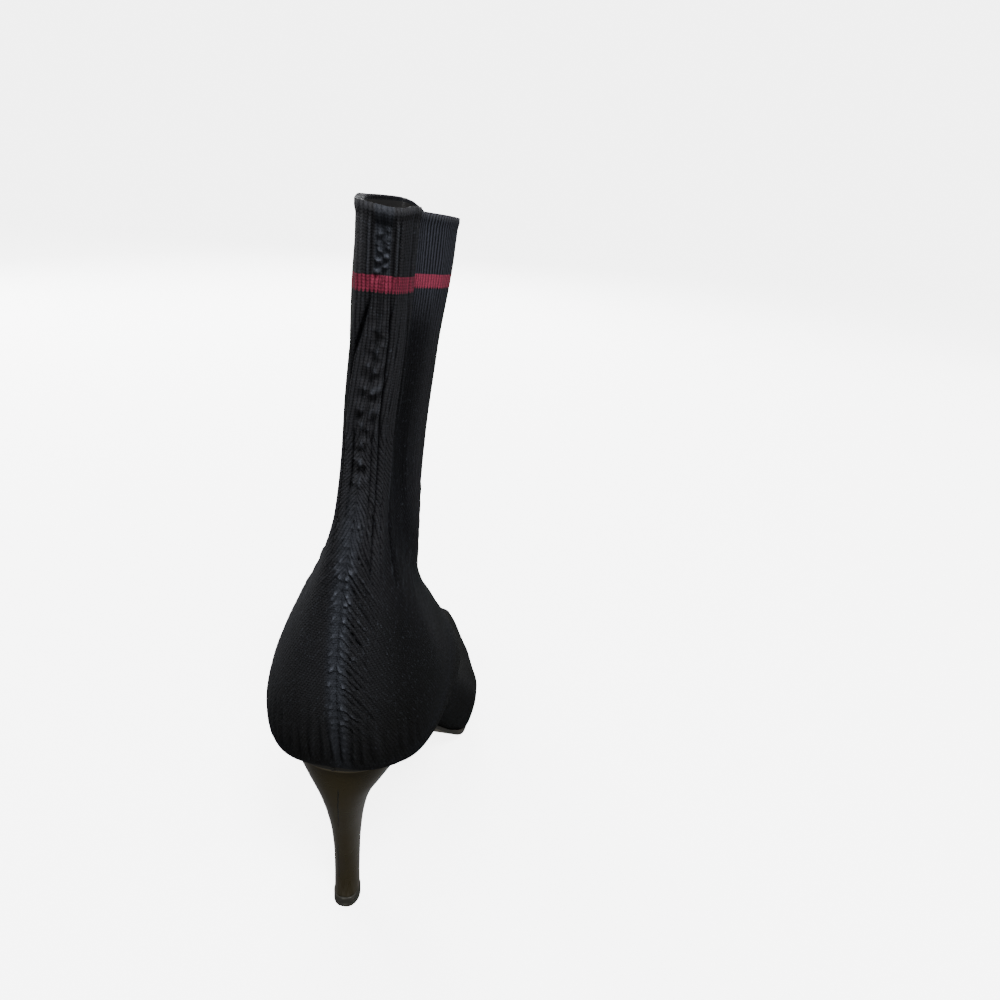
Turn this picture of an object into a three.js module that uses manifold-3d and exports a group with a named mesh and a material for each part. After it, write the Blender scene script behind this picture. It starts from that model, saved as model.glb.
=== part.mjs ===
// Left sock boot on a stiletto heel: a slack ribbed-knit upper on a slim high-heeled last,
// with insole, thin outsole, tapered heel and its replaceable top piece.
// Millimetres, +Z up, toe towards +Y, inner side of the foot towards +X.
import * as THREE from 'three';
import { mergeVertices } from 'three/addons/utils/BufferGeometryUtils.js';
import Module from 'manifold-3d';

const wasm = await Module();
wasm.setup();

// Driving dimensions
const footLength = 240; // back of the seat to the toe tip, along the floor
const heelRise = 97; // seat above the tread, at the back
const seatToTip = 21; // back of the seat to the middle of the heel tip
const seatWidth = 48; // bottom of the upper across the seat
const counterWidth = 66; // upper across the heel
const waistWidth = 41; // bottom of the upper across the arch
const ballWidth = 84; // upper across the ball
const toeWidth = 32; // upper across the toe box
const instepHeight = 60; // upper above the sole over the arch
const toeHeight = 18; // upper above the sole at the toe box
const shaftHeight = 201; // seat to collar at the back
const shaftDepth = 92; // slack shaft, front to back at the collar
const shaftWidth = 19; // slack shaft, side to side at the collar
const shaftLean = 14; // how far the collar leans to the inner side
const wall = 2; // knit and lining
const hemHeight = 5; // turned hem at the collar
const hemStep = 0.7; // how much thicker the hem is
const seamWidth = 6; // raised seam down the back
const seamHeight = 0.9;
const seamEdge = 0.3; // width of the seam's sloping side
const outsoleThickness = 3.5; // under the ball
const seatThickness = 2; // outsole under the arch and the seat
const insoleThickness = 2.4;
const soleEdge = 0.6; // outsole beyond the bottom of the upper
const heelBreast = 44; // length of the heel's top, back to breast
const heelNeckWidth = 10.5; // slimmest part of the heel
const topPieceHeight = 6;
const topPieceFlare = 0.35; // beyond the heel all round
const clearance = 0.3; // between neighbouring curved pieces

// Section resolution
const flatSteps = 2; // points across half of the flat bottom or seam strip
const lowerSteps = 6; // points from there to the widest place
const upperSteps = 8; // points from the widest place to the front or top
const stepsPerRow = 2; // rings between two rows of a table
const foldSpread = 0.17; // reach of a side fold to either side, share of the section

const mix = THREE.MathUtils.lerp;
const bedHeight = outsoleThickness + clearance; // underside of the upper at the tread

// Smooth interpolation at a value of a table's first column. Equal rows stay flat.
function tableAt(rows, value) {
  let low = 0;
  while (low < rows.length - 2 && rows[low + 1][0] < value) low += 1;
  const spans = rows.slice(0, -1).map((row, i) => rows[i + 1][0] - row[0]);
  const share = THREE.MathUtils.clamp((value - rows[low][0]) / spans[low], 0, 1);
  return rows[low].map((start, column) => {
    const slopeAt = (row) => {
      if (row === 0 || row === rows.length - 1) return 0;
      const before = (rows[row][column] - rows[row - 1][column]) / spans[row - 1];
      const after = (rows[row + 1][column] - rows[row][column]) / spans[row];
      return before * after <= 0 ? 0 : (2 * before * after) / (before + after);
    };
    const smooth = share * share * (3 - 2 * share);
    const leave = share * (1 - share) * (1 - share) * spans[low];
    const arrive = share * share * (share - 1) * spans[low];
    const level = mix(start, rows[low + 1][column], smooth);
    return level + slopeAt(low) * leave + slopeAt(low + 1) * arrive;
  });
}

// The same at a place counted in rows.
function tableRow(rows, position) {
  return tableAt(rows.map((row, i) => [i, ...row]), position).slice(1);
}

// The bed: underside of the upper along the foot.
// along: share of footLength from the back of the seat. rise: share of heelRise.
const bedRows = [
  [0.0, 1.0],
  [0.1, 0.95],
  [0.19, 0.865],
  [0.28, 0.7],
  [0.37, 0.475],
  [0.46, 0.225],
  [0.51, 0.1],
  [0.555, 0.02],
  [0.585, 0.0],
  [0.68, 0.0],
  [0.8, 0.015],
  [0.9, 0.045],
  [1.0, 0.085],
];

// Plan of the bed: its whole width, and how far its middle lies to the inner side.
// along: share of footLength
// seat, waist, ball, toe: shares of those widths, added up. skew: share of ballWidth
const planRows = [
  [0.0, 1.0, 0, 0, 0, 0.012],
  [0.13, 1.0, 0, 0, 0, 0.012],
  [0.21, 0.74, 0.24, 0, 0, 0.01],
  [0.32, 0.1, 0.9, 0, 0, 0.002],
  [0.4, 0, 0.8, 0.12, 0, -0.006],
  [0.48, 0, 0.3, 0.54, 0, -0.008],
  [0.56, 0, 0, 0.88, 0, -0.01],
  [0.62, 0, 0, 0.91, 0, -0.014],
  [0.7, 0, 0, 0.82, 0, -0.016],
  [0.78, 0, 0, 0.46, 0.62, -0.01],
  [0.86, 0, 0, 0.1, 1.0, 0.004],
  [0.93, 0, 0, 0, 0.84, 0.014],
  [1.0, 0, 0, 0, 0.5, 0.02],
];
const seatRound = 0.125; // share of footLength over which its back rounds off
const seatSquare = 2.4; // how square it is there
const toeRound = 0.93; // where the toe tip starts to round off

function bedPoint(along) {
  const rise = tableAt(bedRows, along)[1];
  return new THREE.Vector3(0, along * footLength - seatToTip, bedHeight + rise * heelRise);
}

// Unit normal of the bed, pointing up into the foot.
function bedNormal(along) {
  const probe = 0.004;
  const run = bedPoint(along + probe).sub(bedPoint(along - probe)).normalize();
  return new THREE.Vector3(0, -run.z, run.y);
}

// Where the bed's outline lies at a station: its middle and half width.
function bedPlan(along) {
  const [, seat, waist, ball, toe, skew] = tableAt(planRows, along);
  const width = seat * seatWidth + waist * waistWidth + ball * ballWidth + toe * toeWidth;
  let round = 1;
  if (along < seatRound) {
    const left = Math.min(1 - along / seatRound, 1);
    round = (1 - left ** seatSquare) ** (1 / seatSquare);
  } else if (along > toeRound) {
    const past = Math.min((along - toeRound) / (1 - toeRound), 1);
    round = Math.sqrt(1 - past ** 2);
  }
  return { middle: skew * ballWidth, half: (width / 2) * round };
}

// Shaft and heel back, from the collar down to the seat. Every row is one closed section.
// climb: height of its back above the seat, share of shaftHeight
// back: its back behind the heel tip's middle, share of shaftDepth
// depth, dip: front ahead of and below the back, shares of shaftDepth
// leanBack, leanFront: sideways shift of back and front, shares of shaftLean
// slack: width, share of shaftWidth. full: width, share of counterWidth
// widest: place of the widest part from back to front
// lower, upper: how square the section is behind and ahead of that
// innerFold, outerFold: depth of the long side folds, share of shaftWidth. fold: their place
const shaftRows = [
  [1.001, 0.082, 1, 0.13, 0.786, 0.879, 1.021, 0, 0.5, 2.9, 2.7, 0.421, 0.211, 0.46],
  [0.892, 0.076, 0.984, 0.13, 0.714, 0.807, 1.011, 0, 0.5, 2.9, 2.7, 0.421, 0.211, 0.45],
  [0.752, 0.06, 0.946, 0.13, 0.564, 0.693, 0.979, 0, 0.5, 2.8, 2.6, 0.395, 0.184, 0.44],
  [0.623, 0.06, 0.913, 0.13, 0.407, 0.579, 0.947, 0, 0.5, 2.7, 2.5, 0.368, 0.158, 0.43],
  [0.508, 0.087, 0.908, 0.109, 0.3, 0.486, 0.926, 0.03, 0.47, 2.5, 2.4, 0.289, 0.105, 0.43],
  [0.409, 0.136, 0.929, 0.087, 0.186, 0.371, 0.737, 0.197, 0.44, 2.4, 2.1, 0.211, 0.053, 0.44],
  [0.314, 0.19, 0.973, 0.043, 0.086, 0.257, 0.368, 0.5, 0.38, 2.3, 1.62, 0.189, 0.032, 0.52],
  [0.23, 0.239, 1.025, -0.016, 0.036, 0.2, 0.105, 0.758, 0.37, 2.3, 1.42, 0.147, 0.016, 0.6],
  [0.15, 0.283, 1.083, -0.087, 0.057, 0.214, 0.021, 0.933, 0.37, 2.3, 1.5, 0.074, 0, 0.64],
  [0.081, 0.297, 1.117, -0.152, 0.071, 0.257, 0, 1.018, 0.38, 2.4, 1.75, 0.021, 0, 0.66],
  [0.028, 0.28, 1.12, -0.201, 0.079, 0.286, 0, 1.033, 0.4, 2.5, 1.95, 0, 0, 0.66],
];

// Foot, from the back of the seat to the toe. Every row is one closed section.
// along: station of its bottom. reach: its top ahead of that, share of instepHeight
// tall: height of its top above the bed there, share of instepHeight. low: the same, share of toeHeight
// bulgeOut, bulgeIn: side beyond the bed's outline, shares of the half counterWidth
// widest: place of the widest part from bottom to top. lower, upper: squareness
// shift: sideways shift of the top, share of ballWidth
const footRows = [
  [0.002, 1.659, 1.379, 0, 0.832, 0.862, 0.41, 2.6, 2.1, 0.056],
  [0.03, 1.588, 1.343, 0, 0.469, 0.524, 0.41, 2.7, 2.15, 0.06],
  [0.085, 1.418, 1.3, 0, 0.275, 0.353, 0.41, 2.8, 2.15, 0.066],
  [0.15, 1.225, 1.249, 0, 0.231, 0.325, 0.41, 2.7, 2.15, 0.072],
  [0.22, 1.02, 1.187, 0, 0.218, 0.318, 0.41, 2.55, 2.1, 0.076],
  [0.29, 0.832, 1.123, 0, 0.202, 0.308, 0.41, 2.4, 2.0, 0.078],
  [0.36, 0.66, 1.034, 0, 0.223, 0.268, 0.41, 2.4, 1.92, 0.074],
  [0.43, 0.505, 0.931, 0, 0.206, 0.221, 0.39, 2.4, 1.85, 0.067],
  [0.5, 0.367, 0.787, 0, 0.156, 0.156, 0.36, 2.4, 1.85, 0.067],
  [0.57, 0.253, 0.637, 0, 0.101, 0.086, 0.34, 2.4, 1.85, 0.064],
  [0.64, 0.165, 0.528, 0, 0.128, 0.037, 0.34, 2.4, 1.9, 0.06],
  [0.71, 0.118, 0.367, 0.207, 0.158, 0.037, 0.35, 2.35, 1.95, 0.052],
  [0.79, 0.082, 0.158, 0.576, 0.103, 0.012, 0.38, 2.3, 2, 0.043],
  [0.86, 0.06, 0.034, 0.736, 0.1, 0.039, 0.41, 2.2, 2, 0.033],
  [0.93, 0.03, 0, 0.596, 0.047, 0.017, 0.45, 2.2, 2, 0.024],
  [0.965, 0.017, 0, 0.412, 0.04, 0.022, 0.48, 2.1, 2, 0.021],
  [0.985, 0.01, 0, 0.26, 0.058, 0.052, 0.5, 2, 2, 0.02],
  [0.996, 0.003, 0, 0.098, 0.062, 0.062, 0.52, 2, 2, 0.02],
];

// A section of the upper in one form for both tables.
function shaftSection(row) {
  const [climb, back, depth, dip, leanBack, leanFront, slack, full] = row;
  const [widest, lower, upper, innerFold, outerFold, fold] = row.slice(8);
  const half = (slack * shaftWidth + full * counterWidth) / 2;
  const backY = -back * shaftDepth;
  const backZ = bedHeight + heelRise + climb * shaftHeight;
  return {
    back: [backY, backZ],
    front: [backY + depth * shaftDepth, backZ - dip * shaftDepth],
    middles: [leanBack * shaftLean, leanFront * shaftLean],
    flats: [seamWidth / 2, seamWidth / 2],
    halves: [half, half],
    widest,
    lower,
    upper,
    fold,
    folds: [outerFold * shaftWidth, innerFold * shaftWidth],
    seam: 1,
  };
}

function footSection(row) {
  const [along, reach, tall, low, bulgeOut, bulgeIn, widest, lower, upper, shift] = row;
  const bottom = bedPoint(along);
  const { middle, half } = bedPlan(along);
  const topY = bottom.y + reach * instepHeight;
  const under = bedPoint((topY + seatToTip) / footLength);
  return {
    back: [bottom.y, bottom.z],
    front: [topY, under.z + tall * instepHeight + low * toeHeight],
    middles: [middle, shift * ballWidth],
    flats: [half, half],
    halves: [half + (bulgeOut * counterWidth) / 2, half + (bulgeIn * counterWidth) / 2],
    widest,
    lower,
    upper,
    fold: widest,
    folds: [0, 0],
    seam: 0,
  };
}

// The sections as plain rows of numbers, so that they can be interpolated together.
function flatten(section) {
  const { back, front, middles, flats, halves, widest, lower, upper, fold, folds, seam } = section;
  return [...back, ...front, ...middles, ...flats, ...halves, widest, lower, upper, fold, ...folds, seam];
}
const upperRows = [...shaftRows.map(shaftSection), ...footRows.map(footSection)].map(flatten);

// One closed ring of points, starting at the back or bottom and going round by the inner side.
// inset takes the wall off all round. seamOut is how far the seam strip stands out.
function ring(row, inset, seamOut = 0) {
  const [backY, backZ, frontY, frontZ, middleBack, middleFront] = row;
  const [flatOut, flatIn, halfOut, halfIn] = row.slice(6);
  const [widest, lower, upper, fold, foldOut, foldIn, seam] = row.slice(10);
  const span = Math.hypot(frontY - backY, frontZ - backZ);

  // Half a section, from the back to the front: x, share of the span, and how far it stands out.
  function side(flat, half, depth, sign) {
    const flatHalf = Math.max(flat - inset, seamEdge);
    const full = Math.max(half - inset, flatHalf + 2 * seamEdge);
    const points = [];
    const add = (x, share, out = 0) => {
      const dent = depth * Math.exp(-(((share - fold) / foldSpread) ** 2));
      points.push([sign * (x - dent), share, out]);
    };
    for (let i = 0; i <= flatSteps; i += 1) add((flatHalf * i) / flatSteps, 0, seam * seamOut);
    add(flatHalf + seamEdge, 0);
    for (let i = 1; i <= lowerSteps; i += 1) {
      const angle = (Math.PI / 2) * (i / lowerSteps);
      const x = mix(flatHalf + seamEdge, full, Math.sin(angle) ** (2 / lower));
      add(x, widest * (1 - Math.cos(angle) ** (2 / lower)));
    }
    for (let i = 1; i < upperSteps; i += 1) {
      const angle = (Math.PI / 2) * (i / upperSteps);
      const x = full * Math.cos(angle) ** (2 / upper);
      add(x, widest + (1 - widest) * Math.sin(angle) ** (2 / upper));
    }
    return points;
  }

  const inner = side(flatIn, halfIn, foldIn, 1);
  const outer = side(flatOut, halfOut, foldOut, -1).slice(1).reverse();
  return [...inner, [0, 1, 0], ...outer].map(([x, share, out]) => {
    const reach = (inset + share * (span - 2 * inset) - out) / span;
    return new THREE.Vector3(
      x + mix(middleBack, middleFront, share),
      mix(backY, frontY, reach),
      mix(backZ, frontZ, reach),
    );
  });
}

// Closed solid through rings of equal point counts.
function loft(rings) {
  const count = rings[0].length;
  const points = rings.flat();
  const faces = [];
  rings.slice(1).forEach((_, i) => {
    for (let j = 0; j < count; j += 1) {
      const a = i * count + j;
      const b = i * count + ((j + 1) % count);
      faces.push(a, b, a + count, b, b + count, a + count);
    }
  });
  [rings[0], rings.at(-1)].forEach((edge, end) => {
    const centre = edge.reduce((sum, p) => sum.add(p), new THREE.Vector3()).divideScalar(count);
    const first = end === 0 ? 0 : (rings.length - 1) * count;
    points.push(centre);
    for (let j = 0; j < count; j += 1) {
      const pair = [first + j, first + ((j + 1) % count)];
      if (end === 0) pair.reverse();
      faces.push(points.length - 1, ...pair);
    }
  });
  const geometry = new THREE.BufferGeometry().setFromPoints(points);
  geometry.setIndex(faces);
  return solidOf(geometry);
}

// A closed geometry as a solid, with its faces turned out.
function solidOf(geometry) {
  const merged = mergeVertices(geometry, 1e-4);
  const triVerts = new Uint32Array(merged.index.array);
  const position = merged.getAttribute('position');
  const corner = [0, 1, 2].map(() => new THREE.Vector3());
  let volume = 0;
  for (let i = 0; i < triVerts.length; i += 3) {
    corner.forEach((point, k) => point.fromBufferAttribute(position, triVerts[i + k]));
    volume += corner[0].dot(corner[1].clone().cross(corner[2]));
  }
  if (volume < 0) triVerts.reverse();
  return new wasm.Manifold(new wasm.Mesh({ numProp: 3, vertProperties: position.array, triVerts }));
}

function geometryOf(solid) {
  const mesh = solid.getMesh();
  const geometry = new THREE.BufferGeometry();
  geometry.setAttribute('position', new THREE.BufferAttribute(mesh.vertProperties, 3));
  geometry.setIndex(new THREE.BufferAttribute(mesh.triVerts, 1));
  return geometry;
}

// Positions down the upper's tables. The inside stops short of the toe by one row.
const lastRow = upperRows.length - 1;
function positionsTo(end) {
  return Array.from({ length: end * stepsPerRow + 1 }, (_, i) => i / stepsPerRow);
}

function makeUpper() {
  const rings = (end, inset, seamOut) =>
    positionsTo(end).map((position) => ring(tableRow(upperRows, position), inset, seamOut));
  const outside = loft(rings(lastRow, 0, seamHeight));

  const overshoot = 4;
  const innerRings = rings(lastRow - 1, wall, 0);
  innerRings.unshift(innerRings[0].map((p) => p.clone().setZ(p.z + overshoot)));
  const floor = plate(-counterWidth / 6, -overshoot, wall);
  const inside = loft(innerRings).subtract(floor);

  const hemShare = hemHeight / shaftHeight / (shaftRows[0][0] - shaftRows[1][0]);
  const hem = loft([0, hemShare].map((position) =>
    ring(tableRow(upperRows, position), -hemStep, seamHeight)));

  const opening = plate(wall, -overshoot, insoleThickness + 2 * clearance);
  return outside.add(hem).subtract(inside).subtract(opening);
}

// Plate that follows the bed, its outline drawn in by inset.
// low and high are measured from the bed. low may change along the foot.
function plate(inset, low, high, end = 1) {
  const plateSteps = 46;
  const lowAt = typeof low === 'function' ? low : () => low;
  const edge = inset / footLength;
  const thinnest = 0.5;
  const rings = [];
  for (let i = 0; i <= plateSteps; i += 1) {
    const along = mix(edge, end - edge, (1 - Math.cos((Math.PI * i) / plateSteps)) / 2);
    const { middle, half } = bedPlan(along);
    const width = Math.max(half - inset, thinnest);
    const foot = bedPoint(along);
    const up = bedNormal(along);
    const point = (share, height) =>
      foot.clone().addScaledVector(up, height).setX(middle + share * width);
    const under = [-1, -0.5, 0.5, 1].map((share) => point(share, lowAt(along)));
    const over = [1, 0.5, -0.5, -1].map((share) => point(share, high));
    rings.push([...under, ...over]);
  }
  return loft(rings);
}

function makeInsole() {
  return plate(wall + clearance, clearance, clearance + insoleThickness);
}

// The outsole is thin under seat and arch and reaches its full thickness under the ball.
const thinUntil = 0.44; // shares of footLength
const fullFrom = 0.58;

function outsoleBottom(along) {
  const share = THREE.MathUtils.smoothstep(along, thinUntil, fullFrom);
  return -clearance - mix(seatThickness, outsoleThickness, share);
}

function underOutsole(along) {
  return outsoleBottom(along) - clearance;
}

function makeOutsole() {
  return plate(-soleEdge, outsoleBottom, -clearance);
}

// Heel, top to bottom. Every row is one closed section, level only at the tip.
// drop: share of the way from the seat to the top piece. tilt: share of the seat's slope
// back: behind the tip's middle, share of seatToTip. front: ahead of it, share of heelBreast
// wide: width, share of seatWidth. slim: width, share of heelNeckWidth
const heelRows = [
  [-0.06, 1.0, 0.97, 0.53, 0.96, 0.0],
  [0.0, 1.0, 0.965, 0.51, 0.9, 0.0],
  [0.06, 1.0, 0.95, 0.46, 0.79, 0.0],
  [0.14, 0.95, 0.915, 0.39, 0.63, 0.0],
  [0.24, 0.8, 0.84, 0.31, 0.38, 0.3],
  [0.37, 0.6, 0.7, 0.24, 0.17, 0.68],
  [0.52, 0.4, 0.54, 0.19, 0.05, 0.9],
  [0.7, 0.2, 0.4, 0.15, 0.0, 1.0],
  [0.86, 0.05, 0.32, 0.13, 0.0, 1.0],
  [1.0, 0.0, 0.3, 0.125, 0.0, 1.04],
];
const heelWidest = 0.52; // place of the heel's widest part, from its back
const heelBackSquare = 2.1;
const heelFrontSquare = 2.6; // flatter at the breast

// One section of the heel or its top piece, grown all round by grow.
function heelSection([drop, tilt, back, front, wide, slim], grow = 0) {
  const seat = bedPoint(0).z - seatThickness - 2 * clearance;
  const z = mix(seat, topPieceHeight + clearance, drop);
  const backY = -back * seatToTip - grow;
  const frontY = front * heelBreast + grow;
  const breast = bedPoint(heelBreast / footLength);
  const slope = (bedPoint(0).z - breast.z) / heelBreast;
  const half = (wide * seatWidth + slim * heelNeckWidth) / 2 + grow;
  const middle = tilt * bedPlan(seatRound).middle;
  return flatten({
    back: [backY, z],
    front: [frontY, z - tilt * slope * (frontY - backY)],
    middles: [middle, middle],
    flats: [0, 0],
    halves: [half, half],
    widest: heelWidest,
    lower: heelBackSquare,
    upper: heelFrontSquare,
    fold: 0,
    folds: [0, 0],
    seam: 0,
  });
}

function makeHeel() {
  const rows = heelRows.map((row) => heelSection(row));
  const rings = positionsTo(rows.length - 1).map((position) => ring(tableRow(rows, position), 0));
  const aboveSeat = plate(-waistWidth / 8, underOutsole, heelRise / 3, 0.5);
  return loft(rings).subtract(aboveSeat);
}

function makeTopPiece() {
  const foot = ring(heelSection(heelRows.at(-1), topPieceFlare), 0);
  const at = (z) => foot.map((p) => p.clone().setZ(z));
  return loft([at(0), at(topPieceHeight)]);
}

const finishes = {
  knit: { color: 0x1b1c1f, roughness: 0.85, metalness: 0 },
  lining: { color: 0x2a2826, roughness: 0.8, metalness: 0 },
  sole: { color: 0x4a443a, roughness: 0.5, metalness: 0 },
  lacquer: { color: 0x3a352a, roughness: 0.25, metalness: 0 },
  rubber: { color: 0x2c2a24, roughness: 0.6, metalness: 0 },
};

const boot = new THREE.Group();
function addPiece(name, solid, finish) {
  const mesh = new THREE.Mesh(geometryOf(solid), new THREE.MeshStandardMaterial(finishes[finish]));
  mesh.name = name;
  boot.add(mesh);
}
addPiece('upper', makeUpper(), 'knit');
addPiece('insole', makeInsole(), 'lining');
addPiece('outsole', makeOutsole(), 'sole');
addPiece('heel', makeHeel(), 'lacquer');
addPiece('top_piece', makeTopPiece(), 'rubber');

export default boot;
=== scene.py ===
import math
from types import SimpleNamespace

import bmesh
import bpy
import numpy as np
from mathutils import Matrix, Vector


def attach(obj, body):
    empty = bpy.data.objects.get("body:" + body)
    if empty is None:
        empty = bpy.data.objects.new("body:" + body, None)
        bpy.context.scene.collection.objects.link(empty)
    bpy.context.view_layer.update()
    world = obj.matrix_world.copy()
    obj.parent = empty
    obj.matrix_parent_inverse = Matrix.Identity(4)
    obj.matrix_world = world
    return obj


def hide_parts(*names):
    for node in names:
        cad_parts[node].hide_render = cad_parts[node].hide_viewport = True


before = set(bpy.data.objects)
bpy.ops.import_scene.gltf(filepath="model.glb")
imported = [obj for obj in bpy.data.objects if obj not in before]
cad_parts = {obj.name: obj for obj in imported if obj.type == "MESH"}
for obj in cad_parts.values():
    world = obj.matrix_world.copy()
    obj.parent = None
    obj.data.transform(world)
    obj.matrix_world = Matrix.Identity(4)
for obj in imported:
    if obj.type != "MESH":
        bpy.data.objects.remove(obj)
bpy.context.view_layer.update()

MM = 0.001
ROOT = "root"

# Sizes of the boot in millimetres, as in the part
FOOT_LENGTH = 240
HEEL_RISE = 97
SEAT_TO_TIP = 21
SEAT_WIDTH = 48
COUNTER_WIDTH = 66
WAIST_WIDTH = 41
BALL_WIDTH = 84
TOE_WIDTH = 32
INSTEP_HEIGHT = 60
TOE_HEIGHT = 18
SHAFT_HEIGHT = 201
SHAFT_DEPTH = 92
SHAFT_WIDTH = 19
SHAFT_LEAN = 14
WALL = 2
HEM_HEIGHT = 3  # rolled edge of the turned hem
HEM_STEP = 0.5
SEAM_WIDTH = 6
SEAM_EDGE = 0.3
OUTSOLE_THICKNESS = 3.5
SEAT_THICKNESS = 2
SOLE_EDGE = 0.6
HEEL_BREAST = 44
HEEL_NECK = 10.5
TOP_PIECE_HEIGHT = 6
TOP_PIECE_FLARE = 0.35
CLEARANCE = 0.3
FOLD_SPREAD = 0.17
BED_HEIGHT = OUTSOLE_THICKNESS + CLEARANCE

# The bed: underside of the upper along the foot.
# along: share of FOOT_LENGTH from the back of the seat. rise: share of HEEL_RISE.
BED_ROWS = [
    [0.0, 1.0], [0.1, 0.95], [0.19, 0.865], [0.28, 0.7], [0.37, 0.475], [0.46, 0.225], [0.51, 0.1],
    [0.555, 0.02], [0.585, 0.0], [0.68, 0.0], [0.8, 0.015], [0.9, 0.045], [1.0, 0.085],
]

# Plan of the bed: its whole width, and how far its middle lies to the inner side.
# along: share of FOOT_LENGTH
# seat, waist, ball, toe: shares of those widths, added up. skew: share of BALL_WIDTH
PLAN_ROWS = [
    [0.0, 1.0, 0, 0, 0, 0.012],
    [0.13, 1.0, 0, 0, 0, 0.012],
    [0.21, 0.74, 0.24, 0, 0, 0.01],
    [0.32, 0.1, 0.9, 0, 0, 0.002],
    [0.4, 0, 0.8, 0.12, 0, -0.006],
    [0.48, 0, 0.3, 0.54, 0, -0.008],
    [0.56, 0, 0, 0.88, 0, -0.01],
    [0.62, 0, 0, 0.91, 0, -0.014],
    [0.7, 0, 0, 0.82, 0, -0.016],
    [0.78, 0, 0, 0.46, 0.62, -0.01],
    [0.86, 0, 0, 0.1, 1.0, 0.004],
    [0.93, 0, 0, 0, 0.84, 0.014],
    [1.0, 0, 0, 0, 0.5, 0.02],
]

# Shaft and heel back, from the collar down to the seat. Every row is one closed section.
# climb: height of its back above the seat, share of SHAFT_HEIGHT
# back: its back behind the heel tip's middle, share of SHAFT_DEPTH
# depth, dip: front ahead of and below the back, shares of SHAFT_DEPTH
# lean_back, lean_front: sideways shift of back and front, shares of SHAFT_LEAN
# slack: width, share of SHAFT_WIDTH. full: width, share of COUNTER_WIDTH
# widest: place of the widest part from back to front
# lower, upper: how square the section is behind and ahead of that
# inner_fold, outer_fold: depth of the long side folds, share of SHAFT_WIDTH. fold: their place
SHAFT_ROWS = [
    [1.001, 0.082, 1, 0.13, 0.786, 0.879, 1.021, 0, 0.5, 2.9, 2.7, 0.421, 0.211, 0.46],
    [0.892, 0.076, 0.984, 0.13, 0.714, 0.807, 1.011, 0, 0.5, 2.9, 2.7, 0.421, 0.211, 0.45],
    [0.752, 0.06, 0.946, 0.13, 0.564, 0.693, 0.979, 0, 0.5, 2.8, 2.6, 0.395, 0.184, 0.44],
    [0.623, 0.06, 0.913, 0.13, 0.407, 0.579, 0.947, 0, 0.5, 2.7, 2.5, 0.368, 0.158, 0.43],
    [0.508, 0.087, 0.908, 0.109, 0.3, 0.486, 0.926, 0.03, 0.47, 2.5, 2.4, 0.289, 0.105, 0.43],
    [0.409, 0.136, 0.929, 0.087, 0.186, 0.371, 0.737, 0.197, 0.44, 2.4, 2.1, 0.211, 0.053, 0.44],
    [0.314, 0.19, 0.973, 0.043, 0.086, 0.257, 0.368, 0.5, 0.38, 2.3, 1.62, 0.189, 0.032, 0.52],
    [0.23, 0.239, 1.025, -0.016, 0.036, 0.2, 0.105, 0.758, 0.37, 2.3, 1.42, 0.147, 0.016, 0.6],
    [0.15, 0.283, 1.083, -0.087, 0.057, 0.214, 0.021, 0.933, 0.37, 2.3, 1.5, 0.074, 0, 0.64],
    [0.081, 0.297, 1.117, -0.152, 0.071, 0.257, 0, 1.018, 0.38, 2.4, 1.75, 0.021, 0, 0.66],
    [0.028, 0.28, 1.12, -0.201, 0.079, 0.286, 0, 1.033, 0.4, 2.5, 1.95, 0, 0, 0.66],
]

# Foot, from the back of the seat to the toe. Every row is one closed section.
# along: station of its bottom. reach: its top ahead of that, share of INSTEP_HEIGHT
# tall, low: height of its top above the bed there, shares of INSTEP_HEIGHT and TOE_HEIGHT
# bulge_out, bulge_in: side beyond the bed's outline, shares of the half COUNTER_WIDTH
# widest: place of the widest part from bottom to top. lower, upper: squareness
# shift: sideways shift of the top, share of BALL_WIDTH
FOOT_ROWS = [
    [0.002, 1.659, 1.379, 0, 0.832, 0.862, 0.41, 2.6, 2.1, 0.056],
    [0.03, 1.588, 1.343, 0, 0.469, 0.524, 0.41, 2.7, 2.15, 0.06],
    [0.085, 1.418, 1.3, 0, 0.275, 0.353, 0.41, 2.8, 2.15, 0.066],
    [0.15, 1.225, 1.249, 0, 0.231, 0.325, 0.41, 2.7, 2.15, 0.072],
    [0.22, 1.02, 1.187, 0, 0.218, 0.318, 0.41, 2.55, 2.1, 0.076],
    [0.29, 0.832, 1.123, 0, 0.202, 0.308, 0.41, 2.4, 2.0, 0.078],
    [0.36, 0.66, 1.034, 0, 0.223, 0.268, 0.41, 2.4, 1.92, 0.074],
    [0.43, 0.505, 0.931, 0, 0.206, 0.221, 0.39, 2.4, 1.85, 0.067],
    [0.5, 0.367, 0.787, 0, 0.156, 0.156, 0.36, 2.4, 1.85, 0.067],
    [0.57, 0.253, 0.637, 0, 0.101, 0.086, 0.34, 2.4, 1.85, 0.064],
    [0.64, 0.165, 0.528, 0, 0.128, 0.037, 0.34, 2.4, 1.9, 0.06],
    [0.71, 0.118, 0.367, 0.207, 0.158, 0.037, 0.35, 2.35, 1.95, 0.052],
    [0.79, 0.082, 0.158, 0.576, 0.103, 0.012, 0.38, 2.3, 2, 0.043],
    [0.86, 0.06, 0.034, 0.736, 0.1, 0.039, 0.41, 2.2, 2, 0.033],
    [0.93, 0.03, 0, 0.596, 0.047, 0.017, 0.45, 2.2, 2, 0.024],
    [0.965, 0.017, 0, 0.412, 0.04, 0.022, 0.48, 2.1, 2, 0.021],
    [0.985, 0.01, 0, 0.26, 0.058, 0.052, 0.5, 2, 2, 0.02],
    [0.996, 0.003, 0, 0.098, 0.062, 0.062, 0.52, 2, 2, 0.02],
]

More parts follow.
